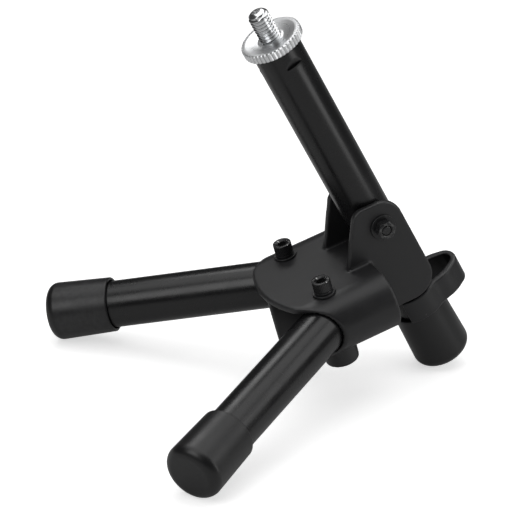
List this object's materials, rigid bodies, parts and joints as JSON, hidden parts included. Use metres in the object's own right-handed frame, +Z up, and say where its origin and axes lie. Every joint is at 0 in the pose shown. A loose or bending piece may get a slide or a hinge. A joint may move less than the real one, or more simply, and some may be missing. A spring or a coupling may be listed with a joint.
{
  "type": "low folding microphone stand base",
  "caption": "Low folding tripod stand base with two swinging front legs, a leaning centre tube on a tilt pivot, rubber feet and a threaded stud with a knurled lock ring.",
  "frame": {"origin": "on the floor, under the middle of the overall box", "axes": "+Z up, +X forward between the two front legs, +Y to the stand's left; -X is the rear foot"},
  "size_m": [0.1804, 0.1916, 0.1854],
  "materials": {
    "tube_enamel": "satin",
    "bracket_powder_coat": "satin powder coat",
    "black_oxide_steel": "black oxide",
    "bright_nickel": "bright nickel plate",
    "foot_rubber": "matte",
    "clip_plastic": "satin moulded",
    "nylon": "matte",
    "zinc_steel": "zinc plate"
  },
  "bodies": {
    "bracket": {"bracket_body": "bracket_powder_coat", "pivot_bolt": "black_oxide_steel", "pivot_nut": "black_oxide_steel", "pivot_washers": "black_oxide_steel", "left_leg_screw": "black_oxide_steel", "right_leg_screw": "black_oxide_steel", "leg_flat_washers": "black_oxide_steel", "leg_spring_washers": "black_oxide_steel", "leg_lock_nuts": "zinc_steel", "lock_nut_rings": "nylon"},
    "centre_tube": {"main_tube": "tube_enamel", "pivot_sleeve": "zinc_steel", "tube_insert": "zinc_steel", "thread_stud": "bright_nickel", "cable_clip": "clip_plastic", "rear_foot_cap": "foot_rubber"},
    "lock_ring": {"knurled_lock_ring": "bright_nickel"},
    "left_leg": {"left_leg_tube": "tube_enamel", "left_leg_sleeve": "zinc_steel", "left_foot_cap": "foot_rubber"},
    "right_leg": {"right_leg_tube": "tube_enamel", "right_leg_sleeve": "zinc_steel", "right_foot_cap": "foot_rubber"}
  },
  "joints": [
    {"name": "tube_tilt", "type": "hinge", "parent": "bracket", "child": "centre_tube", "pos_m": [-0.0371, 0, 0.08013], "axis": [0, 1, 0], "range_deg": [0, 77]},
    {"name": "left_leg_fold", "type": "hinge", "parent": "bracket", "child": "left_leg", "pos_m": [-0.01035, 0.0215, 0.04191], "axis": [0.3007, 0, 0.9537], "range_deg": [-33, 0]},
    {"name": "right_leg_fold", "type": "hinge", "parent": "bracket", "child": "right_leg", "pos_m": [-0.01035, -0.0215, 0.04191], "axis": [0.3007, 0, 0.9537], "range_deg": [0, 33]},
    {"name": "lock_ring_spin", "type": "hinge", "parent": "centre_tube", "child": "lock_ring", "pos_m": [0.01429, 0, 0.16985], "axis": [0.497, 0, 0.8678], "continuous": true}
  ]
}
